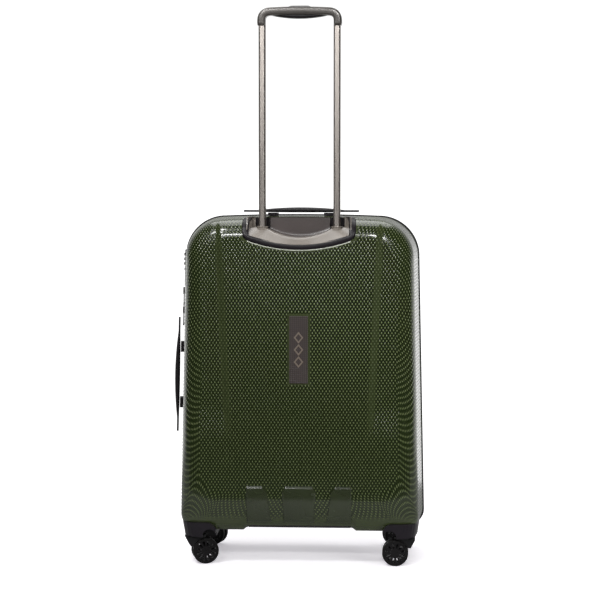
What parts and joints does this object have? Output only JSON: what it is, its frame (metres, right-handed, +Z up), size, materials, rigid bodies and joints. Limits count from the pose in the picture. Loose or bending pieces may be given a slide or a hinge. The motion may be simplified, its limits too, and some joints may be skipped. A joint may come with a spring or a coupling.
{
  "type": "suitcase",
  "caption": "Hard shell wheeled suitcase with a pull-out trolley handle, hinged halves, swivelling casters, carry handles, zip pulls and a dial lock.",
  "frame": {"origin": "on the floor under the middle of the two shells, in the plane of the zip", "axes": "+Z up; -Y towards the trolley side, whose face the badge is on; +X to the right as seen from the trolley side, the hinge side of the case"},
  "size_m": [0.4845, 0.28, 1.0642],
  "materials": {
    "shell": "glossy dark green polycarbonate with a fine raised grain",
    "skid": "glossy dark green plastic",
    "lining": "grey woven lining cloth",
    "zip_tape": "black woven zip tape",
    "black_trim": "satin black moulded plastic",
    "cup_grey": "warm grey moulded plastic",
    "guide_alloy": "drawn alloy tube",
    "panel_cloth": "grey cloth over board",
    "housing": "satin aubergine-black plastic",
    "steel": "bright steel",
    "badge": "dark plate with a fine grid",
    "bronze": "bronze paint",
    "lock_black": "satin black plastic",
    "strap": "black elastic webbing",
    "buckle": "black plastic",
    "tube_alloy": "satin anodised tube",
    "grip": "grey-brown metallic lacquer",
    "soft_black": "soft-touch black plastic",
    "yoke": "black nylon",
    "wheel_hub": "black plastic",
    "tread": "black polyurethane",
    "satin_metal": "satin nickel plating"
  },
  "bodies": {
    "body": {"back_shell": "shell", "back_lining": "lining", "back_zip_tape": "zip_tape", "cup_trim": "black_trim", "trolley_cup": "cup_grey", "guide_tubes": "guide_alloy", "guide_collars": "cup_grey", "tube_foot": "black_trim", "tube_cover": "panel_cloth", "back_left_housing": "housing", "back_right_housing": "housing", "back_fasteners": "steel", "top_handle_posts": "black_trim", "side_handle_posts": "black_trim", "badge_plate": "badge", "badge_emblem": "bronze", "base_guard": "black_trim", "skid_pads": "skid", "lock_body": "lock_black", "packing_straps": "strap", "strap_buckle": "buckle", "hinge_web": "zip_tape"},
    "trolley": {"trolley_tubes": "tube_alloy", "grip": "grip", "grip_pad": "soft_black", "lock_blocks": "black_trim"},
    "release_button": {"release_button": "soft_black"},
    "pull_rods": {"pull_rods": "steel"},
    "lock_pin_left": {"lock_pin_left": "steel"},
    "lock_pin_right": {"lock_pin_right": "steel"},
    "top_handle": {"top_handle": "soft_black"},
    "side_handle": {"side_handle": "soft_black"},
    "front_half": {"front_shell": "shell", "front_lining": "lining", "front_zip_tape": "zip_tape", "front_left_housing": "housing", "front_right_housing": "housing", "front_swivel_pins": "steel"},
    "divider": {"divider_panel": "panel_cloth"},
    "caster_bl": {"yoke_bl": "yoke"},
    "wheels_bl": {"hubs_bl": "wheel_hub", "tyres_bl": "tread"},
    "caster_br": {"yoke_br": "yoke"},
    "wheels_br": {"hubs_br": "wheel_hub", "tyres_br": "tread"},
    "caster_fl": {"yoke_fl": "yoke"},
    "wheels_fl": {"hubs_fl": "wheel_hub", "tyres_fl": "tread"},
    "caster_fr": {"yoke_fr": "yoke"},
    "wheels_fr": {"hubs_fr": "wheel_hub", "tyres_fr": "tread"},
    "dial_1": {"dial_1": "satin_metal"},
    "dial_2": {"dial_2": "satin_metal"},
    "dial_3": {"dial_3": "satin_metal"},
    "lock_button": {"lock_button": "satin_metal"},
    "key_cylinder": {"key_cylinder": "satin_metal"},
    "upper_slider": {"upper_slider": "satin_metal"},
    "upper_pull": {"upper_pull": "lock_black"},
    "lower_slider": {"lower_slider": "satin_metal"},
    "lower_pull": {"lower_pull": "lock_black"}
  },
  "joints": [
    {"name": "trolley_slide", "type": "slide", "parent": "body", "child": "trolley", "axis": [0, 0, 1], "range_m": [-0.376, 0]},
    {"name": "release_press", "type": "slide", "parent": "trolley", "child": "release_button", "axis": [0, 0, -1], "range_m": [0, 0.0035], "stiffness_N_per_m": 900, "springref_m": -0.0006},
    {"name": "rod_press", "type": "slide", "parent": "trolley", "child": "pull_rods", "axis": [0, 0, -1], "range_m": [0, 0.0035]},
    {"name": "pin_left_draw", "type": "slide", "parent": "trolley", "child": "lock_pin_left", "axis": [1, 0, 0], "range_m": [0, 0.0014]},
    {"name": "pin_right_draw", "type": "slide", "parent": "trolley", "child": "lock_pin_right", "axis": [-1, 0, 0], "range_m": [0, 0.0014]},
    {"name": "top_handle_lift", "type": "slide", "parent": "body", "child": "top_handle", "axis": [0, 0, 1], "range_m": [0, 0.012], "stiffness_N_per_m": 150, "springref_m": -0.006},
    {"name": "side_handle_pull", "type": "slide", "parent": "body", "child": "side_handle", "axis": [-0.9957, -0.0896, 0.0223], "range_m": [0, 0.012], "stiffness_N_per_m": 150, "springref_m": -0.006},
    {"name": "case_open", "type": "hinge", "parent": "body", "child": "front_half", "pos_m": [0.23361, 0, 0.365], "axis": [0.0223, 0, -0.9998], "range_deg": [0, 180]},
    {"name": "divider_turn", "type": "hinge", "parent": "front_half", "child": "divider", "pos_m": [0.21781, 0.008, 0.365], "axis": [-0.0223, 0, 0.9998], "range_deg": [0, 100]},
    {"name": "swivel_bl", "type": "hinge", "parent": "body", "child": "caster_bl", "pos_m": [-0.199, -0.092, 0.05], "axis": [0, 0, 1], "continuous": true},
    {"name": "roll_bl", "type": "hinge", "parent": "caster_bl", "child": "wheels_bl", "pos_m": [-0.18347, -0.08813, 0.025], "axis": [-0.2419, 0.9703, 0], "continuous": true},
    {"name": "swivel_br", "type": "hinge", "parent": "body", "child": "caster_br", "pos_m": [0.199, -0.092, 0.05], "axis": [0, 0, 1], "continuous": true},
    {"name": "roll_br", "type": "hinge", "parent": "caster_br", "child": "wheels_br", "pos_m": [0.183, -0.092, 0.025], "axis": [0, -1, 0], "continuous": true},
    {"name": "swivel_fl", "type": "hinge", "parent": "front_half", "child": "caster_fl", "pos_m": [-0.199, 0.092, 0.05], "axis": [0, 0, 1], "continuous": true},
    {"name": "roll_fl", "type": "hinge", "parent": "caster_fl", "child": "wheels_fl", "pos_m": [-0.18347, 0.08813, 0.025], "axis": [0.2419, 0.9703, 0], "continuous": true},
    {"name": "swivel_fr", "type": "hinge", "parent": "front_half", "child": "caster_fr", "pos_m": [0.199, 0.092, 0.05], "axis": [0, 0, 1], "continuous": true},
    {"name": "roll_fr", "type": "hinge", "parent": "caster_fr", "child": "wheels_fr", "pos_m": [0.18347, 0.08813, 0.025], "axis": [0.2419, -0.9703, 0], "continuous": true},
    {"name": "dial_1_turn", "type": "hinge", "parent": "body", "child": "dial_1", "pos_m": [-0.22238, -0.02182, 0.56496], "axis": [0.0222, 0.002, 0.9998], "continuous": true},
    {"name": "dial_2_turn", "type": "hinge", "parent": "body", "child": "dial_2", "pos_m": [-0.22218, -0.02181, 0.57395], "axis": [0.0222, 0.002, 0.9998], "continuous": true},
    {"name": "dial_3_turn", "type": "hinge", "parent": "body", "child": "dial_3", "pos_m": [-0.22198, -0.02179, 0.58295], "axis": [0.0222, 0.002, 0.9998], "continuous": true},
    {"name": "lock_button_slide", "type": "slide", "parent": "body", "child": "lock_button", "axis": [0.0222, 0.002, 0.9998], "range_m": [0, 0.003], "stiffness_N_per_m": 60, "springref_m": -0.002},
    {"name": "key_turn", "type": "hinge", "parent": "body", "child": "key_cylinder", "pos_m": [-0.2249, -0.02205, 0.54101], "axis": [-0.9957, -0.0896, 0.0223], "range_deg": [0, 90]},
    {"name": "upper_zip", "type": "slide", "parent": "body", "child": "upper_slider", "axis": [0.0223, 0, 0.9998], "range_m": [0, 0.055]},
    {"name": "upper_pull_swing", "type": "hinge", "parent": "upper_slider", "child": "upper_pull", "pos_m": [-0.2317, 0, 0.51805], "axis": [0, 1, 0], "range_deg": [0, 130]},
    {"name": "lower_zip", "type": "slide", "parent": "body", "child": "lower_slider", "axis": [0.0223, 0, 0.9998], "range_m": [-0.31, 0]},
    {"name": "lower_pull_swing", "type": "hinge", "parent": "lower_slider", "child": "lower_pull", "pos_m": [-0.23255, 0, 0.48005], "axis": [0, 1, 0], "range_deg": [0, 130]}
  ],
  "couplings": [
    {"joint": "rod_press", "follows": "release_press", "ratio": 1},
    {"joint": "pin_left_draw", "follows": "release_press", "ratio": 0.4},
    {"joint": "pin_right_draw", "follows": "release_press", "ratio": 0.4},
    {"joint": "divider_turn", "follows": "case_open", "ratio": 0.5}
  ]
}
